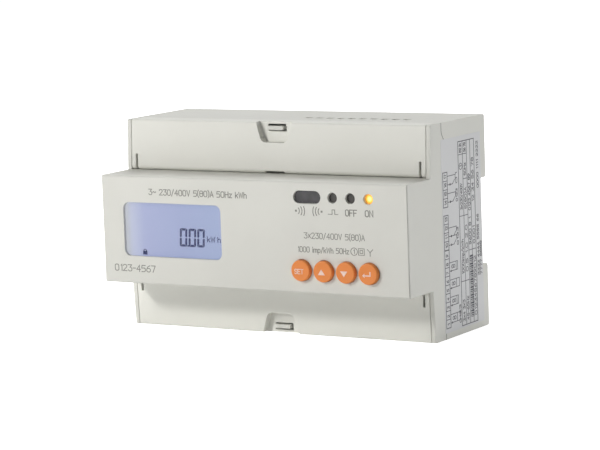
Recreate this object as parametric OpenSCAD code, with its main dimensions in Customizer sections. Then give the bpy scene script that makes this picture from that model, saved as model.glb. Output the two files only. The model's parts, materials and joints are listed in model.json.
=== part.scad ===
// Prepaid electricity meter, eight modules wide, for a 35 mm rail.
// Frame: origin at the centre of the rail seat, +X to the right, -Y to the front, +Z up.

/* [Housing] */
// Overall width, eight modules of 18 mm
housing_w = 144; // [140:1:150]
// Overall height
housing_h = 87.5; // [85:0.5:92]
// Distance from the rail seat to the front of the raised block
block_depth = 64; // [62:0.5:68]
// Height of the raised block
block_h = 45; // [44:0.5:46]
// Distance from the rail seat to the terminal covers, beside the block
ledge_depth = 44; // [43:0.5:46]
// How far the cover faces lean back at their outer edge
cover_lean = 1; // [0.5:0.1:1.5]
// Thickness of the side, top and bottom walls
wall = 2; // [1.8:0.1:2.2]
// Thickness of the front wall
front_wall = 2.5; // [2.4:0.1:3]
// Radius of the block's long front edges
block_edge_r = 1; // [1:0.5:2.5]
// Radius of the block's short front edges
block_side_r = 0.5; // [0.5:0.5:1.5]

/* [Rail channel] */
// Clear height of the channel
channel_h = 35.6; // [35.4:0.1:36]
// Depth of the channel behind the seat
channel_depth = 4.5; // [4.5:0.1:5]
// Height of the flat that the rail rests on
seat_h = 31; // [30:0.5:31]
// Travel of a rail latch
latch_travel = 3.5; // [3:0.5:3.5]
// Distance of each hook and latch from the middle
latch_x = 36; // [30:1:40]

/* [Display] */
// Middle of the display window across the front
display_x = -37.9; // [-39:0.1:-37]
// Middle of the display window up the front
display_z = 0.2; // [-0.5:0.1:0.5]
// Width of the window opening
window_w = 47.4; // [46:0.1:48]
// Height of the window opening
window_h = 22.4; // [22:0.1:23]
// Depth of the window below the front
window_recess = 1.6; // [1.4:0.1:1.7]

/* [Buttons and lamps] */
// Diameter of a button
button_d = 8.6; // [8:0.1:9]
// Distance between two buttons
button_pitch = 10.25; // [10.2:0.05:10.5]
// Middle of the first button across the front
button_x = 23.6; // [23.2:0.1:24.4]
// Middle of the buttons up the front
button_z = -13.2; // [-13.5:0.1:-12]
// How far a button stands out
button_proud = 1.8; // [1.5:0.1:2]
// Travel of a button
button_travel = 0.8; // [0.5:0.1:0.8]
// Middle of the first lamp across the front
lamp_x = 38.4; // [38:0.1:39]
// Distance between two lamps
lamp_pitch = 8.1; // [8:0.1:8.3]
// Middle of the lamps up the front
lamp_z = 16.3; // [16:0.1:16.5]
// Diameter of a lamp hole
lamp_d = 4.2; // [4:0.1:4.4]

/* [Covers] */
// Thickness of a cover's face
cover_t = 1.6; // [1.5:0.1:1.8]
// Radius of a cover's outer corner
cover_edge_r = 1; // [1:0.5:2.5]
// Height of the finger recess
recess_h = 8.5; // [8:0.5:9]
// Width of the finger recess at the outer edge
recess_w = 17; // [16:0.5:18]
// Width of the finger recess at its inner end
recess_inner_w = 12; // [11:0.5:13]

/* [Terminals] */
// Distance between two power terminals
power_pitch = 15; // [14.5:0.5:15]
// Diameter of a cable entry
power_entry_d = 9; // [8:0.5:9]
// Distance between two signal terminals
signal_pitch = 5.08; // [5:0.01:5.1]
// Middle of the row of signal terminals across the front
signal_x = 28.8; // [28:0.1:29]

/* [Hidden] */
$fn = 48;
lip = 0.01;             // overlap that joins two touching shapes
half_w = housing_w / 2;
half_h = housing_h / 2;
half_block = block_h / 2;
half_channel = channel_h / 2;
half_seat = seat_h / 2;

// Housing
cover_gap = 0.2;        // gap along the edges of a cover
seam_y = -34;           // joint of the two cases at the outer edges
seam_inner_y = -31.8;   // joint of the two cases along the middle of the sides
seam_bend_z = 38;       // middle of the bend in that joint
seam_bend_h = 2.6;      // half the height of the bend
deck_y = -34;           // front of the deck under the covers
deck_t = 2;
land_y = channel_depth - wall;      // inside of the back wall beside the channel
relief = 0.5;           // depth of the relief grooves beside the seat
hook_y = 1.3;           // front of a hook, behind the 1 mm rail edge
hook_t = 2.6;
hook_reach = 1.9;
hook_w = 14;
post_x = 65.5;          // case screw posts
post_z = 26;
post_r = 3;
case_screw_r = 1.5;
case_screw_l = 12;
case_head_r = 2.8;
case_head_t = 1.9;
case_slot = [3.4, 0.8, 1];      // length, width and depth of the slots in a head
label_t = 0.12;
label_front_y = -34.8;
label_low_z = -41.2;
label_high_z = 37;

// Covers
pivot_r = 1;
pivot_fit = 0.05;
pivot_l = 1.4;
bead_r = 1.6;           // rounded edge of a cover, about the pivot
pivot_y = -ledge_depth + bead_r;
pivot_z = half_block + cover_gap + bead_r;
strip_x = half_w - 1.9; // inside of the side strips beside the covers
cover_x = strip_x - cover_gap;
cover_back_y = seam_y - cover_gap;
flange_t = 1.4;
recess_floor_y = -40.2;
recess_floor_t = 1.2;
recess_rise = 2.2;      // how far the recess's walls reach up into the face
recess_corner_r = 2.8;
tongue_w = 7.4;
tongue_x = -0.3;        // middle of a locking tongue
tongue_t = 1.5;
tongue_z = 41.1;        // middle of a locking tongue
tongue_y = -41.8;       // tip of a locking tongue
tongue_root_y = -29.5;
tongue_hole_r = 0.45;   // for the wire of a seal
slot_w = 8.5;
slot_h = 2.8;
slot_shift = 0.15;      // how far the slot lies further out than its tongue
arm_slot_x = 67.4;
arm_slot_w = 1;
arm_slot_l = 6.7;
notch_w = 9.2;          // notch in the middle of a cover's hinge edge
notch_h = 1;

// Display stack, from the front
window_y = -block_depth + window_recess;
window_margin = 1.9;
window_r = 2.75;
glass_w = 52;
glass_h = 27.5;
glass_y = -61.3;
glass_t = 2.2;
backlight_w = 48;
backlight_h = 22;
backlight_t = 3;
frame_wall = 1.6;
frame_clear = 0.2;
pin_count = 18;
pin_pitch = 2.54;
pin_w = 0.5;
pin_t = 0.3;
pin_inset = 1;

// Boards
board_t = 1.6;
main_board_y = -52;     // front face of the main board
power_board_y = -7.6;   // front face of the power board
main_back_y = main_board_y + board_t;
board_post_x = 67.6;
board_post_z = 16.8;
board_post_r = 1.8;
board_support_x = 58;
board_support_low_z = -15;
board_support_high_z = 36;
board_support_r = 2;
riser_x = 58.5;
riser_low_z = -10;
riser_high_z = 15;
power_board_half = 62;
power_board_low_z = -19;
power_board_high_z = 39;
board_gap = 0.3;        // between the main board and the walls
// Parts on the back of the main board: middle, width, height and thickness.
controller_size = [10, 0, 14, 14, 1.6];
metering_size = [32, -8, 10, 10, 1.5];
memory_size = [46, 8, 6, 5, 1.4];
battery_r = 7.3;
battery_l = 25;
battery_x = -52;
battery_z = -2;
battery_cap_r = 3;
battery_cap_t = 1;

// Buttons
button_hole_r = button_d / 2 + 0.1;
button_flange_r = 5;
button_flange_t = 1;
button_count = 4;
switch_size = 6;
switch_t = 3.5;
plunger_r = 1.7;
plunger_spare = 0.7;    // what a plunger still stands out when its button is down
plunger_top_y = main_board_y - switch_t - button_travel - plunger_spare;
plunger_l = 2.4;
plunger_fit = 0.05;
switch_floor = 1.2;
button_edge_r = 0.6;
button_stem_r = 2;
button_gap = 0.1;       // between a button's flange and the front wall
inner_front_y = -block_depth + front_wall;
infrared_x = 26.75;
infrared_z = 16.25;
infrared_w = 12.4;
infrared_h = 5.1;
infrared_spread = 3.1;
infrared_sink = 1;    // how far the infrared window lies below the front
infrared_flange = 1;
diode_r = 1.5;
diode_l = 6;
diode_rim_r = 1.9;
diode_rim_t = 1;
guide_sink = 1.3;       // how far a light guide lies below the front
guide_fit = 0.1;
guide_collar = 0.7;
led_w = 3.2;
led_h = 2;
led_t = 1.2;

// Power terminals
power_count = 8;
block_front_y = -37;
block_back_y = -12;
block_top_z = -24;
block_bottom_z = -half_h + wall + 0.1;
entry_y = -20;
clamp_w = 10.4;
clamp_d = 11;
clamp_h = 9;
clamp_wall = 1.1;
clamp_z = -34;          // middle of a clamp
clamp_y = -19.8;
bar_w = 6;
bar_t = 1.5;
bar_y = clamp_y + clamp_d / 2 - clamp_wall - bar_t;
bar_end_z = -4;
power_screw_r = 2.4;
power_head_r = 3.2;
power_head_t = 2.5;
power_head_y = -33;
power_slot = [5, 1, 1.4];       // length, width and depth of the slots in a head
leg_w = 6;
terminal_fit = 0.2;     // gap round a clamp or bar in its block
tool_fit = 0.4;         // gap round a screw head in its shaft
clamp_room = 1.5;       // extra depth in front of a clamp
power_block_half = power_count * power_pitch / 2;
function power_x(i) = (i - (power_count - 1) / 2) * power_pitch;

// Signal terminals
signal_count = 10;
signal_block_y = -36;
signal_back_y = -16;
signal_bottom_z = 26;
signal_entry_y = -24.2;
signal_entry_w = 3.3;
signal_clamp_z = 34;
signal_top_z = half_h - wall - 0.1;
signal_leg_w = 2;
signal_leg_top_z = 35.75;
signal_clamp_low = [-1.9, -2.9, -2.7];  // corners of a clamp, from the middle of its wire
signal_clamp_high = [1.9, 2.5, 2.7];
signal_clamp_wall = 0.6;
signal_clamp_room = [0.1, 0.1, 0.3];
signal_middle = [0, signal_entry_y, signal_clamp_z];
signal_shaft_r = 1.8;
signal_screw_r = 1.1;
signal_head_r = 1.6;
signal_head_y = -34;
signal_head_t = 1.4;
signal_slot_w = 0.5;
signal_slot_depth = 0.7;
contact_w = 1;
contact_t = 0.6;
contact_y = signal_entry_y + 1.2;       // front of a contact strip
contact_low_z = signal_bottom_z - 2;
signal_left = signal_x - signal_count * signal_pitch / 2;
signal_right = signal_x + signal_count * signal_pitch / 2;
function signal_at(i) = signal_x + (i - (signal_count - 1) / 2) * signal_pitch;

// Parts on the power board
relay_w = 28;
relay_h = 18;
relay_t = 14;
ring_r = 7.2;
ring_hole_r = 3.5;
ring_h = 8;
ring_z = -14;
transformer_w = 18;
transformer_l = 18;
transformer_x = -51;
transformer_z = 27;
transformer_flange_t = 4;
transformer_inset = 3;  // how far the winding lies inside its flanges
capacitor_r = 5;
capacitor_l = 20;
capacitor_x = -32;
capacitor_z = [22, 33.4];
varistor_r = 5;
varistor_t = 4;
varistor_x = [-22, -15, -8];
varistor_z = 20.5;
supercapacitor_r = 6;
supercapacitor_l = 6;
supercapacitor_x = -14;
supercapacitor_z = 32.5;

// ---- helpers ----

// A box between two corners.
module box(low, high) {
    translate(low) cube(high - low);
}

// A rod along X, Y or Z between two places on its axis.
module rod_x(x0, x1, y, z, r) {
    translate([x0, y, z]) rotate([0, 90, 0]) cylinder(h = x1 - x0, r = r);
}
module rod_y(y0, y1, x, z, r) {
    translate([x, y1, z]) rotate([90, 0, 0]) cylinder(h = y1 - y0, r = r);
}
module rod_z(z0, z1, x, y, r) {
    translate([x, y, z0]) cylinder(h = z1 - z0, r = r);
}

// A Y-Z outline drawn along X.
module along_x(x0, x1, outline) {
    translate([x0, 0, 0]) rotate([90, 0, 90]) linear_extrude(x1 - x0) polygon(outline);
}

// An X-Z outline drawn along Y.
module along_y(y0, y1, outline) {
    translate([0, y1, 0]) rotate([90, 0, 0]) linear_extrude(y1 - y0) polygon(outline);
}

// An X-Y outline drawn along Z.
module along_z(z0, z1, outline) {
    translate([0, 0, z0]) linear_extrude(z1 - z0) polygon(outline);
}

// Points along an arc.
function arc(u, v, r, from, to, steps = 8) =
    [for (i = [0 : steps]) let (a = from + (to - from) * i / steps) [u + r * cos(a), v + r * sin(a)]];

// A plate with round corners, facing the front.
module round_plate(x, z, w, h, r, y0, y1) {
    box([x - w / 2 + r, y0, z - h / 2], [x + w / 2 - r, y1, z + h / 2]);
    box([x - w / 2, y0, z - h / 2 + r], [x + w / 2, y1, z + h / 2 - r]);
    for (sx = [-1, 1]) for (sz = [-1, 1])
        rod_y(y0, y1, x + sx * (w / 2 - r), z + sz * (h / 2 - r), r);
}

// Draws its child for the upper side, or mirrored for the lower side.
module on_side(side) {
    if (side > 0) children();
    else mirror([0, 0, 1]) children();
}

// ---- housing outlines ----

cover_angle = atan(cover_lean / (half_h - pivot_z));
corner_z = half_h - cover_edge_r;
corner_y = -ledge_depth + cover_lean * (corner_z - pivot_z) / (half_h - pivot_z)
    + cover_edge_r / cos(cover_angle);
// The leaning face and its round outer corner, from the top edge down to the pivot's height.
cover_face = concat(arc(corner_y, corner_z, cover_edge_r, 90, 180 - cover_angle),
    [[-ledge_depth, pivot_z]]);

// The bend in the joint between the two cases, from the outer edge inwards.
seam_steps = 8;
seam_bend = [for (i = [0 : seam_steps]) let (t = i / seam_steps)
    [seam_y + (seam_inner_y - seam_y) * t * t * (3 - 2 * t), seam_bend_z + seam_bend_h * (1 - 2 * t)]];
seam_bend_lower = [for (p = seam_bend) [p[0], -p[1]]];
function reversed(list) = [for (i = [len(list) - 1 : -1 : 0]) list[i]];

// Everything in front of the joint between the two cases.
front_region = concat([[-block_depth - 1, -half_h - 1], [seam_y, -half_h - 1]],
    seam_bend_lower, reversed(seam_bend), [[seam_y, half_h + 1], [-block_depth - 1, half_h + 1]]);
// Everything behind it.
rear_region = concat([[channel_depth + 1, -half_h - 1], [seam_y, -half_h - 1]],
    seam_bend_lower, reversed(seam_bend), [[seam_y, half_h + 1], [channel_depth + 1, half_h + 1]]);

// ---- rear case ----

// Side outline of the rear case, with the rail channel.
rear_edge_r = 1;
rear_outline = concat([[-ledge_depth, half_h]],
    reversed(arc(channel_depth - rear_edge_r, half_h - rear_edge_r, rear_edge_r, 0, 90)),
    [[channel_depth, half_channel + 0.5], [channel_depth - 0.5, half_channel], [-relief, half_channel],
        [-relief, half_seat], [0, half_seat], [0, -half_seat], [-relief, -half_seat],
        [-relief, -half_channel], [channel_depth - 1, -half_channel],
        [channel_depth, -half_channel - 1]],
    reversed(arc(channel_depth - rear_edge_r, -half_h + rear_edge_r, rear_edge_r, 270, 360)),
    [[-ledge_depth, -half_h]]);
inner_outline = [[-ledge_depth - 1, half_h - wall], [land_y, half_h - wall],
    [land_y, half_channel + wall], [-relief - wall, half_channel + wall],
    [-relief - wall, -half_channel - wall], [land_y, -half_channel - wall],
    [land_y, -half_h + wall], [-ledge_depth - 1, -half_h + wall]];

// Sizes of a rail latch and of the guide that it slides in.
latch_w = 12;
latch_neck_w = 9;
latch_y = 1.2;
latch_step_y = 2.7;
latch_back_y = 4.2;
latch_gap = 0.2;
latch_bottom_z = -half_h + 0.15;
pull_w = 6;             // slot for the tip of a screwdriver
pull_h = 1.6;
pull_low_z = latch_bottom_z + 1.5;
guide_floor_y = latch_y - 0.3;
guide_wall_w = latch_w + 2 * latch_gap + 2 * wall;
spring_window_w = 4.6;
spring_low_z = -33.5;
spring_post_h = 1.5;
spring_window_low_z = -37;
spring_coil_r = 1.1;
spring_wire_r = 0.22;
spring_turns = 7;
spring_spare = 2.92;    // spare length when the latch is down and the coils would touch
spring_top_z = spring_low_z + 2 * spring_turns * spring_wire_r + latch_travel + spring_spare;
spring_y = (latch_y + latch_back_y) / 2;

// Hook or latch nose, behind the edge of the rail; sloped so that the rail can push past.
module nose(width, tip_z, root_z) {
    along_x(-width / 2, width / 2, [[hook_y, root_z], [hook_y, tip_z + 0.2], [hook_y + 0.2, tip_z],
        [hook_y + 0.8, tip_z], [hook_y + hook_t, tip_z + 1.2], [hook_y + hook_t, root_z]]);
}

module rail_hook() {
    mirror([0, 0, 1]) nose(hook_w, -half_channel + hook_reach, -half_channel - 1);
}

module latch_guide_body() {
    box([-guide_wall_w / 2, guide_floor_y - wall, -half_h],
        [guide_wall_w / 2, land_y + 1, -half_channel]);
}

module latch_guide_space() {
    side = latch_w / 2 + latch_gap;
    neck = latch_neck_w / 2 + latch_gap;
    box([-side, guide_floor_y, -half_h - 1], [side, latch_step_y + latch_gap, -half_channel + 1]);
    box([-neck, guide_floor_y, -half_h - 1], [neck, channel_depth + 1, -half_channel + 1]);
}

module rear_case() color([0.73, 0.735, 0.72]) {
    difference() {
        union() {
            intersection() {
                difference() {
                    along_x(-half_w, half_w, rear_outline);
                    along_x(-half_w + wall, half_w - wall, inner_outline);
                }
                along_x(-half_w - 1, half_w + 1, rear_region);
            }
            for (sx = [-1, 1]) {
                translate([sx * latch_x, 0, 0]) latch_guide_body();
                translate([sx * latch_x, 0, 0]) rail_hook();
                for (sz = [-1, 1])
                    rod_y(deck_y + deck_t, land_y + lip, sx * post_x, sz * post_z, post_r);
                rod_y(power_board_y + board_t, -wall, sx * board_support_x, board_support_low_z,
                    board_support_r);
                rod_y(power_board_y + board_t, land_y + lip, sx * board_support_x,
                    board_support_high_z, board_support_r);
            }
            for (side = [-1, 1]) locking_tongue(side);
        }
        for (sx = [-1, 1]) {
            translate([sx * latch_x, 0, 0]) latch_guide_space();
            for (sz = [-1, 1])
                rod_y(deck_y, deck_y + case_screw_l, sx * post_x, sz * post_z, case_screw_r);
        }
        for (i = [0 : power_count - 1])
            rod_z(-half_h - 1, -half_h + wall + 1, power_x(i), entry_y, power_entry_d / 2);
        for (i = [0 : signal_count - 1])
            signal_entry(i);
    }
    for (sx = [-1, 1])
        translate([sx * latch_x, 0, 0])
            box([-spring_window_w / 2 + 0.3, guide_floor_y - lip, spring_low_z - spring_post_h],
                [spring_window_w / 2 - 0.3, latch_back_y - 0.3, spring_low_z]);
}

// A tongue from the inside of the top or bottom wall, which comes out through a cover's slot.
module locking_tongue(side) {
    on_side(side) difference() {
        box([tongue_x - tongue_w / 2, tongue_y, tongue_z - tongue_t / 2],
            [tongue_x + tongue_w / 2, tongue_root_y, tongue_z + tongue_t / 2]);
        rod_z(tongue_z - tongue_t, tongue_z + tongue_t, tongue_w / 4, (tongue_y + recess_floor_y) / 2,
            tongue_hole_r);
    }
}

// The room for a locking tongue in a terminal block.
module tongue_room(side) {
    on_side(side) box([-slot_w / 2, block_front_y - 1, tongue_z - slot_h / 2],
        [slot_w / 2, tongue_root_y + slot_shift, half_h]);
}

// Square way in for a signal wire, through the top wall.
module signal_entry(i) {
    half = signal_entry_w / 2;
    box([signal_at(i) - half, signal_entry_y - half, half_h - wall - 1],
        [signal_at(i) + half, signal_entry_y + half, half_h + 1]);
}

// ---- front case ----

block_outline = concat(
    [[seam_inner_y, -half_block]],
    reversed(arc(-block_depth + block_edge_r, -half_block + block_edge_r, block_edge_r, 180, 270)),
    reversed(arc(-block_depth + block_edge_r, half_block - block_edge_r, block_edge_r, 90, 180)),
    [[seam_inner_y, half_block]]);
block_plan = concat(
    arc(-half_w + block_side_r, -block_depth + block_side_r, block_side_r, 180, 270),
    arc(half_w - block_side_r, -block_depth + block_side_r, block_side_r, 270, 360),
    [[half_w, 0], [-half_w, 0]]);

module side_strips() {
    outline = concat(cover_face, [[-ledge_depth, half_block - 1], [0, half_block - 1], [0, half_h]]);
    for (sz = [-1, 1]) on_side(sz) {
        along_x(strip_x, half_w, outline);
        along_x(-half_w, -strip_x, outline);
    }
}

module deck(side) {
    on_side(side) difference() {
        box([-strip_x - lip, deck_y, half_block - 1],
            [strip_x + lip, deck_y + deck_t, half_h - wall - 0.1]);
        // The deck ends inside the rear case above the bend of the joint.
        for (sx = [-1, 1])
            translate([sx * half_w, 0, half_h])
                cube([2 * wall + 0.1, housing_h, 2 * (half_h - seam_bend_z + seam_bend_h)], center = true);
        for (sx = [-1, 1])
            rod_y(deck_y - 1, deck_y + deck_t + 1, sx * post_x, post_z, case_screw_r + 0.2);
        tongue_room(1);
    }
}

module front_openings() {
    round_plate(display_x, display_z, window_w, window_h, window_r, -block_depth - 1, 0);
    round_plate(display_x, display_z, window_w + 2 * window_margin, window_h + 2 * window_margin,
        window_r, window_y, inner_front_y + 0.5);
    stadium(0, -block_depth - 1, inner_front_y + 1);
    for (i = [0 : 2])
        rod_y(-block_depth - 1, inner_front_y + 1, lamp_x + i * lamp_pitch, lamp_z, lamp_d / 2);
    for (i = [0 : button_count - 1])
        rod_y(-block_depth - 1, inner_front_y + 1, button_x + i * button_pitch, button_z,
            button_hole_r);
}

// The long round-ended shape of the infrared window, made larger or smaller by grow.
module stadium(grow, y0, y1) {
    r = infrared_h / 2 + grow;
    reach = (infrared_w - infrared_h) / 2;
    box([infrared_x - reach, y0, infrared_z - r], [infrared_x + reach, y1, infrared_z + r]);
    for (sx = [-1, 1])
        rod_y(y0, y1, infrared_x + sx * reach, infrared_z, r);
}

module front_case() color([0.85, 0.855, 0.83]) {
    difference() {
        union() {
            difference() {
                intersection() {
                    along_x(-half_w, half_w, block_outline);
                    along_z(-half_block, half_block, block_plan);
                }
                box([-half_w + wall, inner_front_y, -half_block + wall],
                    [half_w - wall, 0, half_block - wall]);
            }
            intersection() {
                side_strips();
                along_x(-half_w - 1, half_w + 1, front_region);
            }
            for (side = [-1, 1]) deck(side);
            for (sx = [-1, 1]) for (sz = [-1, 1])
                rod_y(inner_front_y - lip, main_board_y, sx * board_post_x, sz * board_post_z,
                    board_post_r);
        }
        front_openings();
        for (side = [-1, 1]) on_side(side) for (sx = [0, 1]) mirror([sx, 0, 0])
            rod_x(strip_x - 1, strip_x + pivot_l, pivot_y, pivot_z, pivot_r + pivot_fit);
        // Windows in the decks for the two terminal blocks.
        box([-power_block_half - 0.2, deck_y - 1, block_bottom_z - 1],
            [power_block_half + 0.2, deck_y + deck_t + 1, block_top_z + 0.2]);
        box([signal_left - 0.2, deck_y - 1, signal_bottom_z - 0.2],
            [signal_right + 0.2, deck_y + deck_t + 1, half_h]);
    }
}
module case_screws() color([0.75, 0.76, 0.78]) {
    for (sx = [-1, 1]) for (sz = [-1, 1])
        difference() {
            union() {
                rod_y(deck_y - case_head_t, deck_y, sx * post_x, sz * post_z, case_head_r);
                rod_y(deck_y - lip, deck_y + case_screw_l, sx * post_x, sz * post_z, case_screw_r);
            }
            cross_slot(sx * post_x, sz * post_z, deck_y - case_head_t, case_slot);
        }
}

// A cross slot in a screw head that faces the front; size is its length, width and depth.
module cross_slot(x, z, y, size) {
    long = size[0] / 2;
    short = size[1] / 2;
    box([x - long, y - 1, z - short], [x + long, y + size[2], z + short]);
    box([x - short, y - 1, z - long], [x + short, y + size[2], z + long]);
}

module side_label() color([0.75, 0.755, 0.79]) {
    box([half_w, label_front_y, label_low_z], [half_w + label_t, 0, label_high_z]);
}

// ---- terminal covers ----

// The recess's outline: wide at the outer edge, narrower at its inner end, with round inner corners.
recess_slope = (recess_w - recess_inner_w) / 2 / recess_h;
recess_low_z = half_h - recess_h;
recess_corner_x = recess_inner_w / 2
    + recess_corner_r * (recess_slope - sqrt(1 + recess_slope * recess_slope));
function recess_outline(grow, top) = let (
        r = recess_corner_r + grow,
        centre_z = recess_low_z + recess_corner_r,
        lean = atan(recess_slope),
        side_x = recess_corner_x + r * cos(lean) + recess_slope * (top - centre_z + r * sin(lean)))
    concat(arc(-recess_corner_x, centre_z, r, 180 + lean, 270),
        arc(recess_corner_x, centre_z, r, 270, 360 - lean),
        [[side_x, top], [-side_x, top]]);

// A cut through a cover's face from its hinge edge.
module edge_cut(width, length) {
    box([-width / 2, -ledge_depth - 1, half_block],
        [width / 2, -ledge_depth + 4 * cover_t, half_block + length]);
}

module cover() {
    inner_top_y = -ledge_depth + cover_lean + cover_t;
    outline = concat([[cover_back_y, half_h - flange_t], [cover_back_y, half_h]], cover_face,
        [[pivot_y + cover_t - bead_r, pivot_z], [inner_top_y, half_h - flange_t]]);
    difference() {
        union() {
            along_x(-cover_x, cover_x, outline);
            rod_x(-cover_x, cover_x, pivot_y, pivot_z, bead_r);
            along_y(recess_floor_y - recess_rise, recess_floor_y + recess_floor_t,
                recess_outline(recess_floor_t, half_h - flange_t + lip));
            rod_x(-cover_x - pivot_l + 0.1, cover_x + pivot_l - 0.1, pivot_y, pivot_z, pivot_r);
        }
        along_y(-ledge_depth - 1, recess_floor_y, recess_outline(0, half_h + 1));
        box([-slot_w / 2, -ledge_depth, tongue_z + slot_shift - slot_h / 2],
            [slot_w / 2, recess_floor_y + 2, tongue_z + slot_shift + slot_h / 2]);
        for (sx = [-1, 1]) translate([sx * arm_slot_x, 0, 0])
            edge_cut(arm_slot_w, arm_slot_l);
        edge_cut(notch_w, notch_h);
    }
}

module upper_cover() color([0.85, 0.855, 0.83]) on_side(1) cover();
module lower_cover() color([0.85, 0.855, 0.83]) on_side(-1) cover();

// ---- display ----

module display_window() color([0.75, 0.8, 0.95, 0.4])
    round_plate(display_x, display_z, window_w + 2 * window_margin - 0.2,
        window_h + 2 * window_margin - 0.2, window_r, window_y, inner_front_y);

// A plate behind the display window.
module display_plate(w, h, y0, y1) {
    box([display_x - w / 2, y0, display_z - h / 2], [display_x + w / 2, y1, display_z + h / 2]);
}

module display_glass() color([0.66, 0.71, 0.86])
    display_plate(glass_w, glass_h, glass_y, glass_y + glass_t);

module display_backlight() color([0.93, 0.93, 0.97])
    display_plate(backlight_w, backlight_h, glass_y + glass_t, glass_y + glass_t + backlight_t);

module display_frame() color([0.9, 0.9, 0.88]) difference() {
    inner_w = glass_w + 2 * frame_clear;
    inner_h = glass_h + 2 * frame_clear;
    display_plate(inner_w + 2 * frame_wall, inner_h + 2 * frame_wall, glass_y, main_board_y);
    display_plate(inner_w, inner_h, glass_y - 1, main_board_y + 1);
}

module display_pins() color([0.8, 0.78, 0.7])
    for (i = [0 : pin_count - 1])
        translate([display_x + (i - (pin_count - 1) / 2) * pin_pitch, 0,
                display_z - glass_h / 2 + pin_inset])
            box([-pin_w / 2, glass_y + glass_t, -pin_t / 2], [pin_w / 2, main_board_y, pin_t / 2]);

// ---- infrared window and lamps ----

module infrared_window() color([0.22, 0.22, 0.24]) {
    stadium(-0.05, -block_depth + infrared_sink, inner_front_y);
    stadium(infrared_flange, inner_front_y, inner_front_y + infrared_flange);
}

// A 3 mm diode that stands on the main board and looks forward.
module diode(x) {
    rod_y(main_board_y - diode_l, main_board_y, x, infrared_z, diode_r);
    translate([x, main_board_y - diode_l, infrared_z]) sphere(r = diode_r);
    rod_y(main_board_y - diode_rim_t, main_board_y, x, infrared_z, diode_rim_r);
}
module infrared_emitter() color([0.5, 0.45, 0.7]) diode(infrared_x - infrared_spread);
module infrared_receiver() color([0.15, 0.15, 0.17]) diode(infrared_x + infrared_spread);

// A clear rod that carries the light of a board lamp to its hole.
module light_guide(i) {
    x = lamp_x + i * lamp_pitch;
    rod_y(-block_depth + guide_sink, main_board_y - led_t - guide_fit, x, lamp_z,
        lamp_d / 2 - guide_fit);
    rod_y(inner_front_y, inner_front_y + guide_collar, x, lamp_z, lamp_d / 2 + guide_collar);
}
module pulse_light_guide() color([0.35, 0.3, 0.3]) light_guide(0);
module off_light_guide() color([0.35, 0.3, 0.3]) light_guide(1);
module on_light_guide() color([0.95, 0.75, 0.1]) light_guide(2);

module status_leds() color([0.95, 0.95, 0.85])
    for (i = [0 : 2])
        translate([lamp_x + i * lamp_pitch, 0, lamp_z])
            box([-led_w / 2, main_board_y - led_t, -led_h / 2], [led_w / 2, main_board_y, led_h / 2]);

// ---- buttons ----

module button(i) {
    x = button_x + i * button_pitch;
    face_y = -block_depth - button_proud;
    flange_y = inner_front_y + button_gap;
    rod_y(face_y + button_edge_r, flange_y + button_gap, x, button_z, button_d / 2);
    translate([x, face_y + button_edge_r, button_z]) rotate([90, 0, 0])
        rotate_extrude() polygon(concat([[0, -lip], [0, button_edge_r]],
            reversed(arc(button_d / 2 - button_edge_r, 0, button_edge_r, 0, 90)),
            [[button_d / 2, -lip]]));
    rod_y(flange_y, flange_y + button_flange_t, x, button_z, button_flange_r);
    rod_y(inner_front_y, plunger_top_y, x, button_z, button_stem_r);
}
module set_button() color([0.92, 0.56, 0.32]) button(0);
module up_button() color([0.92, 0.56, 0.32]) button(1);
module down_button() color([0.92, 0.56, 0.32]) button(2);
module enter_button() color([0.92, 0.56, 0.32]) button(3);

module plunger(i)
    rod_y(plunger_top_y, plunger_top_y + plunger_l, button_x + i * button_pitch, button_z, plunger_r);
module set_plunger() color([0.2, 0.2, 0.2]) plunger(0);
module up_plunger() color([0.2, 0.2, 0.2]) plunger(1);
module down_plunger() color([0.2, 0.2, 0.2]) plunger(2);
module enter_plunger() color([0.2, 0.2, 0.2]) plunger(3);

module button_switches() color([0.3, 0.3, 0.32])
    for (i = [0 : button_count - 1]) difference() {
        x = button_x + i * button_pitch;
        half = switch_size / 2;
        box([x - half, main_board_y - switch_t, button_z - half],
            [x + half, main_board_y, button_z + half]);
        rod_y(main_board_y - switch_t - 1, main_board_y - switch_floor, x, button_z,
            plunger_r + plunger_fit);
    }

// ---- boards and what is on them ----

module main_board() color([0.1, 0.4, 0.2])
    box([-half_w + wall + board_gap, main_board_y, -half_block + wall + board_gap],
        [half_w - wall - board_gap, main_back_y, half_block - wall - board_gap]);

// A chip on the back of the main board.
module chip(size)
    translate([size[0], 0, size[1]])
        box([-size[2] / 2, main_back_y, -size[3] / 2], [size[2] / 2, main_back_y + size[4], size[3] / 2]);
module microcontroller() color([0.12, 0.12, 0.13]) chip(controller_size);
module metering_chip() color([0.12, 0.12, 0.13]) chip(metering_size);
module memory_chip() color([0.12, 0.12, 0.13]) chip(memory_size);

module backup_battery() color([0.2, 0.5, 0.75]) {
    end_x = battery_x + battery_l;
    rod_x(battery_x, end_x, main_back_y + battery_r, battery_z, battery_r);
    rod_x(end_x - lip, end_x + battery_cap_t, main_back_y + battery_r, battery_z, battery_cap_r);
}

module riser_board() color([0.1, 0.4, 0.2])
    box([riser_x, main_back_y, riser_low_z], [riser_x + board_t, power_board_y, riser_high_z]);

module power_board() color([0.1, 0.4, 0.2])
    box([-power_board_half, power_board_y, power_board_low_z],
        [power_board_half, power_board_y + board_t, power_board_high_z]);

function phase_x(i) = power_x(2 * i) + power_pitch / 2;
module relay(i) box([phase_x(i) - relay_w / 2, power_board_y - relay_t, bar_end_z],
    [phase_x(i) + relay_w / 2, power_board_y, bar_end_z + relay_h]);
module relay_l1() color([0.13, 0.13, 0.14]) relay(0);
module relay_l2() color([0.13, 0.13, 0.14]) relay(1);
module relay_l3() color([0.13, 0.13, 0.14]) relay(2);

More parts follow.
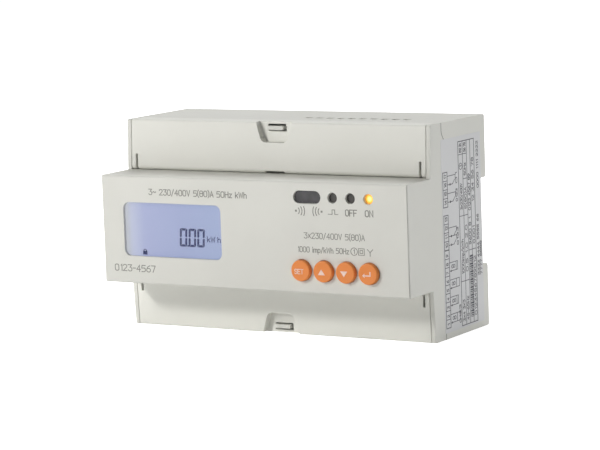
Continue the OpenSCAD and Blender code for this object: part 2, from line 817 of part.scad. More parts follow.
// A ring core round the bar that brings a phase in.
module current_transformer(i) difference() {
    rod_z(ring_z - ring_h / 2, ring_z + ring_h / 2, power_x(2 * i), bar_y + bar_t / 2, ring_r);
    rod_z(ring_z - ring_h, ring_z + ring_h, power_x(2 * i), bar_y + bar_t / 2, ring_hole_r);
}
module current_transformer_l1() color([0.15, 0.3, 0.6]) current_transformer(0);
module current_transformer_l2() color([0.15, 0.3, 0.6]) current_transformer(1);
module current_transformer_l3() color([0.15, 0.3, 0.6]) current_transformer(2);

// Two flanges with the winding between them.
module supply_transformer() color([0.85, 0.8, 0.35])
    translate([transformer_x, power_board_y - transformer_w / 2, transformer_z]) {
        winding_w = transformer_w - 2 * transformer_inset;
        for (sz = [-1, 1])
            translate([0, 0, sz * (transformer_l - transformer_flange_t) / 2])
                cube([transformer_w, transformer_w, transformer_flange_t], center = true);
        cube([winding_w, winding_w, transformer_l - transformer_flange_t], center = true);
    }
module supply_capacitors() color([0.12, 0.14, 0.2])
    for (z = capacitor_z)
        rod_y(power_board_y - capacitor_l, power_board_y, capacitor_x, z, capacitor_r);
module surge_varistors() color([0.2, 0.35, 0.7])
    for (x = varistor_x)
        rod_x(x - varistor_t / 2, x + varistor_t / 2, power_board_y - varistor_r, varistor_z, varistor_r);
module supercapacitor() color([0.1, 0.1, 0.1])
    rod_y(power_board_y - supercapacitor_l, power_board_y, supercapacitor_x, supercapacitor_z,
        supercapacitor_r);

// ---- power terminals ----

module power_terminal_block() color([0.25, 0.26, 0.28]) difference() {
    union() {
        box([-power_block_half, block_front_y, block_bottom_z],
            [power_block_half, block_back_y, block_top_z]);
        for (sx = [0, 1]) mirror([sx, 0, 0])
            box([power_block_half - leg_w, block_back_y - 1, block_bottom_z],
                [power_block_half, land_y, block_top_z]);
    }
    tongue_room(-1);
    for (i = [0 : power_count - 1]) translate([power_x(i), 0, 0]) {
        side = clamp_w / 2 + terminal_fit;
        front = clamp_y - clamp_d / 2 - clamp_room;
        back = clamp_y + clamp_d / 2 + terminal_fit;
        rise = clamp_h / 2 + terminal_fit;
        bar_side = bar_w / 2 + terminal_fit;
        rod_y(block_front_y - 1, clamp_y, 0, clamp_z, power_head_r + tool_fit);
        rod_z(block_bottom_z - 1, clamp_z, 0, entry_y, power_entry_d / 2);
        box([-side, front, clamp_z - rise], [side, back, clamp_z + rise]);
        box([-bar_side, bar_y - terminal_fit, clamp_z],
            [bar_side, bar_y + bar_t + terminal_fit, block_top_z + 1]);
    }
}

module power_clamps() color([0.8, 0.7, 0.35])
    for (i = [0 : power_count - 1]) translate([power_x(i), clamp_y, clamp_z]) difference() {
        cube([clamp_w, clamp_d, clamp_h], center = true);
        cube([clamp_w - 2 * clamp_wall, clamp_d - 2 * clamp_wall, clamp_h + 1], center = true);
        rod_y(-clamp_d, 0, 0, 0, power_screw_r);
    }

module power_clamp_screws() color([0.78, 0.78, 0.8])
    for (i = [0 : power_count - 1]) difference() {
        union() {
            rod_y(power_head_y, power_head_y + power_head_t, power_x(i), clamp_z, power_head_r);
            rod_y(power_head_y + power_head_t - 0.5, clamp_y - clamp_d / 2 + clamp_wall + 0.3,
                power_x(i), clamp_z, power_screw_r);
        }
        cross_slot(power_x(i), clamp_z, power_head_y, power_slot);
    }

module power_busbars() color([0.8, 0.5, 0.3])
    for (i = [0 : power_count - 1]) translate([power_x(i), 0, 0])
        box([-bar_w / 2, bar_y, clamp_z - clamp_h / 2 + 1], [bar_w / 2, bar_y + bar_t, bar_end_z]);

module neutral_link() color([0.8, 0.5, 0.3])
    box([power_x(6) - bar_w / 2, bar_y - bar_t, bar_end_z - bar_w],
        [power_x(7) + bar_w / 2, bar_y, bar_end_z]);

// ---- signal terminals ----

module signal_terminal_block() color([0.2, 0.45, 0.3]) difference() {
    union() {
        box([signal_left, signal_block_y, signal_bottom_z],
            [signal_right, signal_back_y, signal_top_z]);
        for (x = [signal_left, signal_right - signal_leg_w])
            box([x, signal_back_y - 1, signal_bottom_z],
                [x + signal_leg_w, power_board_y, signal_leg_top_z]);
    }
    tongue_room(1);
    for (i = [0 : signal_count - 1]) translate([signal_at(i), 0, 0]) {
        half = signal_entry_w / 2;
        rod_y(signal_block_y - 1, signal_entry_y, 0, signal_clamp_z, signal_shaft_r);
        box([-half, signal_entry_y - half, signal_clamp_z], [half, signal_entry_y + half, half_h]);
        box(signal_middle + signal_clamp_low - signal_clamp_room,
            signal_middle + signal_clamp_high + signal_clamp_room);
        box([-contact_w / 2 - terminal_fit, contact_y - terminal_fit, signal_bottom_z - 1],
            [contact_w / 2 + terminal_fit, contact_y + contact_t + terminal_fit, signal_clamp_z]);
    }
}

module signal_clamps() color([0.8, 0.7, 0.35])
    for (i = [0 : signal_count - 1]) translate([signal_at(i), 0, 0] + signal_middle) difference() {
        wall_t = [signal_clamp_wall, signal_clamp_wall, -1];
        box(signal_clamp_low, signal_clamp_high);
        box(signal_clamp_low + wall_t, signal_clamp_high - wall_t);
        rod_y(2 * signal_clamp_low[1], 0, 0, 0, signal_screw_r);
    }

module signal_clamp_screws() color([0.78, 0.78, 0.8])
    for (i = [0 : signal_count - 1]) difference() {
        union() {
            rod_y(signal_head_y, signal_head_y + signal_head_t, signal_at(i), signal_clamp_z,
                signal_head_r);
            rod_y(signal_head_y + 1, signal_entry_y + signal_clamp_low[1] + signal_clamp_wall,
                signal_at(i), signal_clamp_z, signal_screw_r);
        }
        half = signal_slot_w / 2;
        box([signal_at(i) - signal_head_r - 1, signal_head_y - 1, signal_clamp_z - half],
            [signal_at(i) + signal_head_r + 1, signal_head_y + signal_slot_depth, signal_clamp_z + half]);
    }

module signal_contacts() color([0.8, 0.78, 0.7])
    for (i = [0 : signal_count - 1]) translate([signal_at(i), 0, 0]) {
        box([-contact_w / 2, contact_y, contact_low_z],
            [contact_w / 2, contact_y + contact_t, signal_clamp_z + 2]);
        box([-contact_w / 2, contact_y, contact_low_z - contact_t],
            [contact_w / 2, power_board_y, contact_low_z]);
    }

// ---- rail latches ----

module rail_latch(side) translate([side * latch_x, 0, 0]) {
    difference() {
        union() {
            box([-latch_w / 2, latch_y, latch_bottom_z], [latch_w / 2, latch_step_y, -half_channel]);
            box([-latch_neck_w / 2, latch_y, latch_bottom_z],
                [latch_neck_w / 2, latch_back_y, -half_channel]);
            nose(latch_neck_w, -half_channel + hook_reach, -half_channel - 1);
        }
        box([-spring_window_w / 2, 0, spring_window_low_z],
            [spring_window_w / 2, channel_depth, spring_top_z]);
        box([-pull_w / 2, 0, pull_low_z], [pull_w / 2, channel_depth, pull_low_z + pull_h]);
    }
}
module left_rail_latch() color([0.3, 0.3, 0.31]) rail_latch(-1);
module right_rail_latch() color([0.3, 0.3, 0.31]) rail_latch(1);

// A coil spring along Z: rings of points on a helix, joined into one tube.
spring_sides = 8;
spring_rings = spring_turns * 14;
function spring_point(ring, side) = let (
        turn = 360 * spring_turns * ring / spring_rings,
        around = 360 * side / spring_sides,
        out = spring_coil_r + spring_wire_r * cos(around),
        low = spring_low_z + 2 * spring_wire_r,
        high = spring_top_z - 2 * spring_wire_r)
    [out * cos(turn), spring_y + out * sin(turn),
        low + (high - low) * ring / spring_rings + spring_wire_r * sin(around)];
module latch_spring(side) translate([side * latch_x, 0, 0]) polyhedron(
    points = [for (ring = [0 : spring_rings]) for (s = [0 : spring_sides - 1]) spring_point(ring, s)],
    faces = concat(
        [[for (s = [0 : spring_sides - 1]) s]],
        [for (ring = [0 : spring_rings - 1]) for (s = [0 : spring_sides - 1])
            let (a = ring * spring_sides, t = (s + 1) % spring_sides)
            [a + s, a + spring_sides + s, a + spring_sides + t, a + t]],
        [[for (s = [spring_sides - 1 : -1 : 0]) spring_rings * spring_sides + s]]));
module left_latch_spring() color([0.8, 0.8, 0.82]) latch_spring(-1);
module right_latch_spring() color([0.8, 0.8, 0.82]) latch_spring(1);

// ---- the part ----

rear_case();
front_case();
case_screws();
side_label();
upper_cover();
lower_cover();
display_window();
display_glass();
display_backlight();
display_frame();
display_pins();
infrared_window();
infrared_emitter();
infrared_receiver();
pulse_light_guide();
off_light_guide();
on_light_guide();
status_leds();
set_button();
up_button();
down_button();
enter_button();
set_plunger();
up_plunger();
down_plunger();
enter_plunger();
button_switches();
main_board();
microcontroller();
metering_chip();
memory_chip();
backup_battery();
riser_board();
power_board();
relay_l1();
relay_l2();
relay_l3();
current_transformer_l1();
current_transformer_l2();
current_transformer_l3();
supply_transformer();
supply_capacitors();
surge_varistors();
supercapacitor();
power_terminal_block();
power_clamps();
power_clamp_screws();
power_busbars();
neutral_link();
signal_terminal_block();
signal_clamps();
signal_clamp_screws();
signal_contacts();
left_rail_latch();
right_rail_latch();
left_latch_spring();
right_latch_spring();
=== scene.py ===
"""Looks of a rail-mounted prepaid electricity meter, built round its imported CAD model."""
import json
import math

import bmesh
import bpy
from mathutils import Matrix, Vector


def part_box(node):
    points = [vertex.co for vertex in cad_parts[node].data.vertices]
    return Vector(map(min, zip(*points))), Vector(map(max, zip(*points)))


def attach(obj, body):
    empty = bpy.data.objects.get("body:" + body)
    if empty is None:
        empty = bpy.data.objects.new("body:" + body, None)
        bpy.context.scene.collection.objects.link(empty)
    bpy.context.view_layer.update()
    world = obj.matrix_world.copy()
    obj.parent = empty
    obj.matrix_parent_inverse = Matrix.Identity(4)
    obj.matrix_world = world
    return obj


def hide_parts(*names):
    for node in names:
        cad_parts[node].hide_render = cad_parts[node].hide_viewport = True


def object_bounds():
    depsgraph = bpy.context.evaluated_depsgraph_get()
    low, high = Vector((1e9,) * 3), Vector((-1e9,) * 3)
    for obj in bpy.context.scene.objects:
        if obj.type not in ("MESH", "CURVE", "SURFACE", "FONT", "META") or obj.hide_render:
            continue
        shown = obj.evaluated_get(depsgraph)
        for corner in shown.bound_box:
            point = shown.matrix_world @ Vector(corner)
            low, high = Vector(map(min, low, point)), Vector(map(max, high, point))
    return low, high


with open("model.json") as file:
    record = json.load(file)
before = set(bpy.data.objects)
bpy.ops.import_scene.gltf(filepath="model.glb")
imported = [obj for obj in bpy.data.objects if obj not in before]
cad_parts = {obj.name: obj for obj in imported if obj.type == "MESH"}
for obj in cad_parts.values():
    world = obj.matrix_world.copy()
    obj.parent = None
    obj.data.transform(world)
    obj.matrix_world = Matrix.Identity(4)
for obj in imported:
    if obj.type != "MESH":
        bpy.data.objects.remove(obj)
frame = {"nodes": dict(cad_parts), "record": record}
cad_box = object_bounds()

MM = 0.001
INK = 0.05 * MM              # thickness of a printed mark
HOUSING = "housing"


# ---------------------------------------------------------------- camera

AZIMUTH = math.radians(30.66)
ELEVATION = math.radians(7.63)
ROLL = math.radians(-2.005)
TARGET = Vector((3.1, -30.0, -0.3)) * MM
DISTANCE = 1084.7 * MM
LENS = 157.33
SENSOR = 36.0


def make_camera():
    """A long lens from the right and a little above, rolled by two degrees."""
    data = bpy.data.cameras.new("camera")
    data.lens = LENS
    data.sensor_width = SENSOR
    data.clip_start = 0.01
    data.clip_end = 100.0
    camera = bpy.data.objects.new("camera", data)
    bpy.context.scene.collection.objects.link(camera)
    back = Vector((math.sin(AZIMUTH) * math.cos(ELEVATION),
                   -math.cos(AZIMUTH) * math.cos(ELEVATION), math.sin(ELEVATION)))
    right = Vector((0, 0, 1)).cross(back).normalized()
    up = back.cross(right)
    rolled_right = right * math.cos(ROLL) + up * math.sin(ROLL)
    rolled_up = up * math.cos(ROLL) - right * math.sin(ROLL)
    turn = Matrix((rolled_right, rolled_up, back)).transposed().to_4x4()
    camera.matrix_world = Matrix.Translation(TARGET + back * DISTANCE) @ turn
    bpy.context.scene.camera = camera


# ---------------------------------------------------------------- light and floor

WORLD_LIGHT = 0.1
WARM = (1.0, 0.985, 0.96)
NEUTRAL = (1.0, 1.0, 1.0)
# Name, place from the middle of the meter in metres, size, power and colour.
LIGHTS = (
    ("key", (-0.483, -0.711, 0.44), 0.155, 4.5, WARM),
    ("front_fill", (-0.9, -1.5, -0.1), 0.9, 6.4, NEUTRAL),
    ("top_fill", (-0.5, 0.9, 1.3), 0.9, 18.0, NEUTRAL),
    ("side_fill", (2.0, 0.7, 0.3), 0.9, 16.5, NEUTRAL),
)


def area_light(name, place, aim, size, power, colour=(1, 1, 1)):
    """A square soft light that looks at a point."""
    data = bpy.data.lights.new(name, "AREA")
    data.shape = "SQUARE"
    data.size = size
    data.energy = power
    data.color = colour
    light = bpy.data.objects.new(name, data)
    bpy.context.scene.collection.objects.link(light)
    light.location = place
    light.rotation_euler = (Vector(place) - Vector(aim)).to_track_quat("Z", "Y").to_euler()


def make_studio():
    """White surroundings, a key from the front left, soft light from above and behind the right side."""
    scene = bpy.context.scene
    scene.view_settings.view_transform = "Standard"
    world = bpy.data.worlds.new("studio")
    scene.world = world
    world.use_nodes = True
    tree = world.node_tree
    tree.nodes.clear()
    out = tree.nodes.new("ShaderNodeOutputWorld")
    mix = tree.nodes.new("ShaderNodeMixShader")
    path = tree.nodes.new("ShaderNodeLightPath")
    lit = tree.nodes.new("ShaderNodeBackground")
    lit.inputs["Color"].default_value = (0.97, 0.985, 1.0, 1)
    lit.inputs["Strength"].default_value = WORLD_LIGHT
    seen = tree.nodes.new("ShaderNodeBackground")
    seen.inputs["Color"].default_value = (1, 1, 1, 1)
    seen.inputs["Strength"].default_value = 1.0
    tree.links.new(path.outputs["Is Camera Ray"], mix.inputs["Fac"])
    tree.links.new(lit.outputs["Background"], mix.inputs[1])
    tree.links.new(seen.outputs["Background"], mix.inputs[2])
    tree.links.new(mix.outputs["Shader"], out.inputs["Surface"])
    middle = (cad_box[0] + cad_box[1]) / 2
    for name, place, size, power, colour in LIGHTS:
        area_light(name, middle + Vector(place), middle, size, power, colour)

    data = bpy.data.meshes.new("floor")
    side = 6.0
    low = cad_box[0].z
    data.from_pydata([(-side, -side, low), (side, -side, low), (side, side, low), (-side, side, low)],
                     [], [(0, 1, 2, 3)])
    floor = bpy.data.objects.new("floor", data)
    scene.collection.objects.link(floor)
    data.materials.append(floor_paint())


# ---------------------------------------------------------------- materials

class Nodes:
    """A short way to write a node tree."""

    def __init__(self, name):
        self.material = bpy.data.materials.new(name)
        self.material.use_nodes = True
        self.tree = self.material.node_tree
        self.shader = self.tree.nodes["Principled BSDF"]
        self.place = self.add("ShaderNodeTexCoord").outputs["Object"]

    def add(self, kind, **settings):
        node = self.tree.nodes.new(kind)
        for key, value in settings.items():
            setattr(node, key, value)
        return node

    def link(self, a, b):
        self.tree.links.new(a, b)

    def put(self, socket, value):
        self.shader.inputs[socket].default_value = value

    def noise(self, scale, detail=2.0, roughness=0.5, stretch=(1, 1, 1)):
        """Noise in the object's own metres."""
        mapping = self.add("ShaderNodeMapping")
        mapping.inputs["Scale"].default_value = stretch
        self.link(self.place, mapping.inputs["Vector"])
        node = self.add("ShaderNodeTexNoise")
        node.inputs["Scale"].default_value = scale
        node.inputs["Detail"].default_value = detail
        node.inputs["Roughness"].default_value = roughness
        self.link(mapping.outputs["Vector"], node.inputs["Vector"])
        return node.outputs["Fac"]

    def spread(self, value, low, high, from_low=0.3, from_high=0.7):
        """Moves a 0 to 1 value into a range of numbers."""
        node = self.add("ShaderNodeMapRange")
        for key, number in zip(("From Min", "From Max", "To Min", "To Max"),
                               (from_low, from_high, low, high)):
            node.inputs[key].default_value = number
        self.link(value, node.inputs["Value"])
        return node.outputs["Result"]

    def ramp(self, value, *stops):
        """A colour ramp of (place, colour) stops."""
        node = self.add("ShaderNodeValToRGB")
        band = node.color_ramp
        while len(band.elements) < len(stops):
            band.elements.new(0.5)
        for element, (place, colour) in zip(band.elements, stops):
            element.position = place
            element.color = (*colour, 1)
        self.link(value, node.inputs["Fac"])
        return node.outputs["Color"]

    def bump(self, height, strength, distance):
        node = self.add("ShaderNodeBump")
        node.inputs["Strength"].default_value = strength
        node.inputs["Distance"].default_value = distance
        self.link(height, node.inputs["Height"])
        self.link(node.outputs["Normal"], self.shader.inputs["Normal"])

    def colour(self, socket):
        self.link(socket, self.shader.inputs["Base Color"])

    def rough(self, socket):
        self.link(socket, self.shader.inputs["Roughness"])


def shade(colour, factor):
    return tuple(min(1.0, c * factor) for c in colour)


def floor_paint():
    m = Nodes("floor_paint")
    m.colour(m.ramp(m.noise(3.0), (0.3, (0.93, 0.93, 0.93)), (0.7, (0.96, 0.96, 0.96))))
    m.put("Roughness", 0.9)
    m.put("Emission Color", (1, 1, 1, 1))
    seen = m.add("ShaderNodeLightPath").outputs["Is Camera Ray"]
    m.link(m.spread(seen, 0.15, 0.95, 0.0, 1.0), m.shader.inputs["Emission Strength"])
    return m.material


def moulded(name, colour, rough=0.5, grain=0.5, depth=0.012 * MM, cloud=0.02):
    """Moulded plastic: spark-eroded grain, faint clouding and uneven sheen."""
    m = Nodes(name)
    cloudy = m.noise(28.0, 4.0)
    m.colour(m.ramp(cloudy, (0.3, shade(colour, 1 - cloud)), (0.7, shade(colour, 1 + cloud))))
    m.rough(m.spread(m.noise(160.0, 3.0), rough - 0.05, rough + 0.06))
    m.bump(m.noise(2600.0, 3.0, 0.6), grain, depth)
    m.put("Specular IOR Level", 0.42)
    return m.material


def metal(name, colour, rough=0.28, stretch=(1, 1, 12)):
    """Plated or drawn metal with fine streaks."""
    m = Nodes(name)
    streaks = m.noise(380.0, 4.0, 0.6, stretch)
    m.colour(m.ramp(streaks, (0.3, shade(colour, 0.88)), (0.7, shade(colour, 1.06))))
    m.rough(m.spread(streaks, rough - 0.06, rough + 0.1))
    m.bump(streaks, 0.15, 0.01 * MM)
    m.put("Metallic", 1.0)
    return m.material


def board(name):
    """Solder resist over copper tracks."""
    m = Nodes(name)
    wave = m.add("ShaderNodeTexBrick")
    wave.inputs["Scale"].default_value = 260.0
    wave.inputs["Color1"].default_value = (0.012, 0.13, 0.055, 1)
    wave.inputs["Color2"].default_value = (0.016, 0.17, 0.07, 1)
    wave.inputs["Mortar"].default_value = (0.03, 0.24, 0.1, 1)
    m.link(m.place, wave.inputs["Vector"])
    m.colour(wave.outputs["Color"])
    m.rough(m.spread(m.noise(500.0), 0.28, 0.4))
    return m.material


def printed_ink(name, colour):
    """Pad-printed ink, a little uneven."""
    m = Nodes(name)
    patch = m.noise(900.0, 2.0)
    m.colour(m.ramp(patch, (0.3, shade(colour, 0.9)), (0.7, shade(colour, 1.12))))
    m.put("Roughness", 0.55)
    return m.material


def display_light():
    """Liquid crystal over a side-lit panel: bright at the left edge, periwinkle across."""
    low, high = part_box("display_window")
    m = Nodes("display_light")
    split = m.add("ShaderNodeSeparateXYZ")
    m.link(m.place, split.inputs["Vector"])
    across = m.spread(split.outputs["X"], 0.0, 1.0, low.x, high.x)
    tint = m.ramp(across, (0.03, (0.92, 0.95, 1.0)), (0.08, (0.74, 0.80, 1.0)),
                  (0.2, (0.52, 0.58, 0.90)), (0.55, (0.45, 0.53, 0.84)), (0.9, (0.455, 0.56, 0.86)),
                  (1.0, (0.52, 0.56, 0.88)))
    haze = m.ramp(m.noise(25.0, 1.0), (0.3, (0.985, 0.985, 0.99)), (0.7, (1.0, 1.0, 1.0)))
    blend = m.add("ShaderNodeMix", data_type="RGBA", blend_type="MULTIPLY")
    blend.inputs["Factor"].default_value = 1.0
    m.link(tint, blend.inputs["A"])
    m.link(haze, blend.inputs["B"])
    m.link(blend.outputs["Result"], m.shader.inputs["Emission Color"])
    m.colour(m.ramp(across, (0.0, (0.10, 0.11, 0.16)), (1.0, (0.09, 0.10, 0.15))))
    m.put("Emission Strength", 0.6)
    m.put("Roughness", 0.3)
    return m.material


def clear_window():
    m = Nodes("clear_window")
    m.colour(m.ramp(m.noise(40.0), (0.3, (0.30, 0.31, 0.36)), (0.7, (0.33, 0.34, 0.39))))
    m.put("Alpha", 0.07)
    m.put("Roughness", 0.1)
    m.put("IOR", 1.49)
    return m.material


def dark_filter(name, colour, rough=0.25):
    """Deeply tinted clear plastic."""
    m = Nodes(name)
    m.colour(m.ramp(m.noise(300.0), (0.3, shade(colour, 0.85)), (0.7, shade(colour, 1.15))))
    m.put("Roughness", rough)
    m.put("Specular IOR Level", 0.3)
    return m.material


def lit_guide():
    """The end of a light guide with a yellow lamp behind it: pale in the middle."""
    low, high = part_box("on_light_guide")
    middle = (low + high) / 2
    m = Nodes("lit_guide")
    shift = m.add("ShaderNodeVectorMath", operation="SUBTRACT")
    shift.inputs[1].default_value = middle
    m.link(m.place, shift.inputs[0])
    flat = m.add("ShaderNodeVectorMath", operation="MULTIPLY")
    flat.inputs[1].default_value = (1, 0, 1)
    m.link(shift.outputs["Vector"], flat.inputs[0])
    size = m.add("ShaderNodeVectorMath", operation="LENGTH")
    m.link(flat.outputs["Vector"], size.inputs[0])
    out = m.spread(size.outputs["Value"], 0.0, 1.0, 0.0, 1.8 * MM)
    glow = m.ramp(out, (0.25, (1.0, 0.86, 0.42)), (0.62, (1.0, 0.62, 0.06)), (0.95, (0.62, 0.22, 0.02)))
    m.link(glow, m.shader.inputs["Emission Color"])
    m.put("Emission Strength", 1.0)
    m.put("Base Color", (0.5, 0.3, 0.05, 1))
    m.put("Roughness", 0.3)
    return m.material


def film():
    """Printed silvery film with a faint ripple."""
    m = Nodes("label_film")
    m.colour(m.ramp(m.noise(22.0, 3.0), (0.3, (0.645, 0.65, 0.655)), (0.7, (0.68, 0.685, 0.69))))
    m.rough(m.spread(m.noise(90.0), 0.34, 0.46))
    m.bump(m.noise(120.0, 2.0), 0.12, 0.03 * MM)
    return m.material


LIGHT_GREY = (0.70, 0.70, 0.655)


def make_paints():
    return {
        "housing_plastic": moulded("housing_plastic", LIGHT_GREY, 0.5),
        # Painted light: the covers take the housing grey made 11 percent lighter, standing in for light that
        # reaches them less than the block's front.
        "cover_plastic": moulded("cover_plastic", shade(LIGHT_GREY, 1.11), 0.48),
        "button_plastic": moulded("button_plastic", (0.84, 0.26, 0.055), 0.42, 0.35, 0.008 * MM, 0.03),
        "clear_window": clear_window(),
        "display_glass": display_light(),
        "backlight_plastic": moulded("backlight_plastic", (0.85, 0.85, 0.88), 0.35),
        "infrared_filter": dark_filter("infrared_filter", (0.075, 0.073, 0.078), 0.3),
        "light_guide_dark": dark_filter("light_guide_dark", (0.07, 0.066, 0.062), 0.35),
        "light_guide_lit": lit_guide(),
        "diode_plastic": dark_filter("diode_plastic", (0.10, 0.08, 0.16), 0.15),
        "switch_plastic": moulded("switch_plastic", (0.03, 0.03, 0.035), 0.45),
        "circuit_board": board("circuit_board"),
        "chip_plastic": moulded("chip_plastic", (0.018, 0.018, 0.02), 0.55),
        "battery_sleeve": dark_filter("battery_sleeve", (0.03, 0.16, 0.36), 0.25),
        "relay_plastic": moulded("relay_plastic", (0.02, 0.02, 0.022), 0.4),
        "ring_coating": dark_filter("ring_coating", (0.02, 0.08, 0.32), 0.3),
        "transformer_tape": moulded("transformer_tape", (0.72, 0.55, 0.06), 0.4),
        "capacitor_sleeve": dark_filter("capacitor_sleeve", (0.02, 0.03, 0.06), 0.25),
        "varistor_coating": dark_filter("varistor_coating", (0.02, 0.10, 0.42), 0.35),
        "terminal_plastic": moulded("terminal_plastic", (0.045, 0.047, 0.052), 0.5),
        "signal_plastic": moulded("signal_plastic", (0.03, 0.19, 0.08), 0.45),
        "clamp_brass": metal("clamp_brass", (0.78, 0.60, 0.28)),
        "screw_steel": metal("screw_steel", (0.72, 0.72, 0.73)),
        "bar_copper": metal("bar_copper", (0.86, 0.45, 0.28)),
        "contact_tin": metal("contact_tin", (0.76, 0.75, 0.70)),
        "latch_plastic": moulded("latch_plastic", (0.035, 0.035, 0.037), 0.45),
        "spring_steel": metal("spring_steel", (0.66, 0.66, 0.68), 0.22),
        "label_film": film(),
        "mark_grey": printed_ink("mark_grey", (0.25, 0.25, 0.225)),
        # Painted shade: dark ink for the ribbon that stands in for the shade in the gap between the two
        # cases.
        "painted_joint_shade": printed_ink("painted_joint_shade", (0.17, 0.17, 0.155)),
        "mark_side": printed_ink("mark_side", (0.085, 0.085, 0.10)),
        "mark_pale": printed_ink("mark_pale", (0.90, 0.66, 0.58)),
        "segment_blue": printed_ink("segment_blue", (0.012, 0.022, 0.13)),
    }


# ---------------------------------------------------------------- building pieces

def node_body(node):
    for body, nodes in frame["record"]["behaviour"]["bodies"].items():
        if node in nodes:
            return body


def new_piece(name, mesh, body, paint):
    piece = bpy.data.objects.new(name, mesh)
    bpy.context.scene.collection.objects.link(piece)
    mesh.materials.clear()
    mesh.materials.append(paint)
    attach(piece, body)
    return piece


def whole_copy(node):
    """A copy of a CAD node's mesh with its vertices joined and its flat faces whole."""
    mesh = frame["nodes"][node].data.copy()
    mesh.name = node + "_skin"
    work = bmesh.new()
    work.from_mesh(mesh)
    bmesh.ops.remove_doubles(work, verts=work.verts, dist=0.0005 * MM)
    bmesh.ops.dissolve_limit(work, angle_limit=math.radians(0.4), verts=work.verts, edges=work.edges,
                             delimit={"NORMAL"})
    bmesh.ops.recalc_face_normals(work, faces=work.faces)
    for face in work.faces:
        face.smooth = True
    work.to_mesh(mesh)
    work.free()
    return mesh


def keep_inside(piece, node):
    """Fixes the piece's modified shape, with every corner inside the node's box."""
    low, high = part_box(node)
    shaped = piece.evaluated_get(bpy.context.evaluated_depsgraph_get())
    mesh = bpy.data.meshes.new_from_object(shaped)
    piece.modifiers.clear()
    piece.data = mesh
    place = piece.matrix_world.copy()
    back = place.inverted()
    for vertex in mesh.vertices:
        spot = place @ vertex.co
        held = [min(max(spot[i], low[i]), high[i]) for i in range(3)]
        if any(abs(held[i] - spot[i]) > 1e-9 for i in range(3)):
            vertex.co = back @ type(spot)(held)


def rounded(node, slot, radius=0.2 * MM, segments=2, limit=32):
    """A piece with the node's shape and its sharp edges broken, in place of the node."""
    piece = new_piece(node + "_skin", whole_copy(node), node_body(node), PAINTS[slot])
    bevel = piece.modifiers.new("broken_edges", "BEVEL")
    bevel.width = radius
    bevel.segments = segments
    bevel.limit_method = "ANGLE"
    bevel.angle_limit = math.radians(limit)
    bevel.use_clamp_overlap = False
    weigh = piece.modifiers.new("flat_normals", "WEIGHTED_NORMAL")
    weigh.keep_sharp = True
    weigh.weight = 60
    keep_inside(piece, node)
    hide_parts(node)
    return piece


def paint_nodes():
    """Every CAD node that still shows gets its slot's material."""
    for row in frame["record"]["subparts"]:
        mesh = frame["nodes"][row["node"]].data
        mesh.materials.clear()
        mesh.materials.append(PAINTS[row["material_slot"]])


# ---------------------------------------------------------------- printed marks

